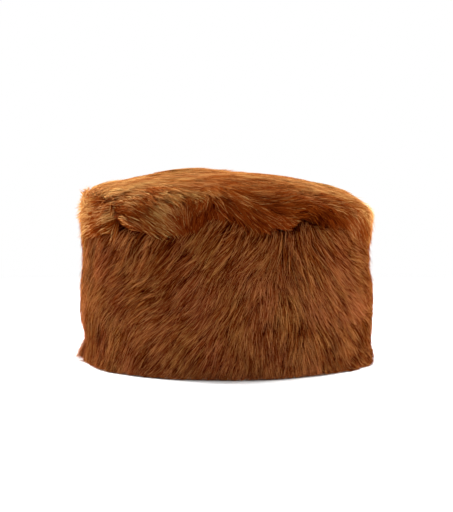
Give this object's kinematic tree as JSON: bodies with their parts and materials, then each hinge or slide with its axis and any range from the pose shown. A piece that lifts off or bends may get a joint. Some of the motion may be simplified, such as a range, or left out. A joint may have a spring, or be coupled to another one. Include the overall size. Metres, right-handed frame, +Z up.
{
  "type": "turkmen telpek hat",
  "caption": "Tall round fur hat: an oval hide tube closed by a hide disc, under long brown combed fur, with a puffed crown that overhangs the side above a crease.",
  "frame": {"origin": "middle of the hat's footprint, on the surface that the rim rests on", "axes": "+Z up through the crown, the front of the hat towards -Y, +X to the right as seen from the front"},
  "size_m": [0.2404, 0.272, 0.1555],
  "materials": {
    "hide": "undyed suede flesh side",
    "side_hair": "long straight fur, chestnut brown, darker at the roots",
    "crown_hair": "long soft fur, lighter tan brown on top"
  },
  "bodies": {
    "root": {"side_pelt": "hide", "crown_pelt": "hide", "side_fur": "side_hair", "crown_fur": "crown_hair"}
  },
  "joints": []
}
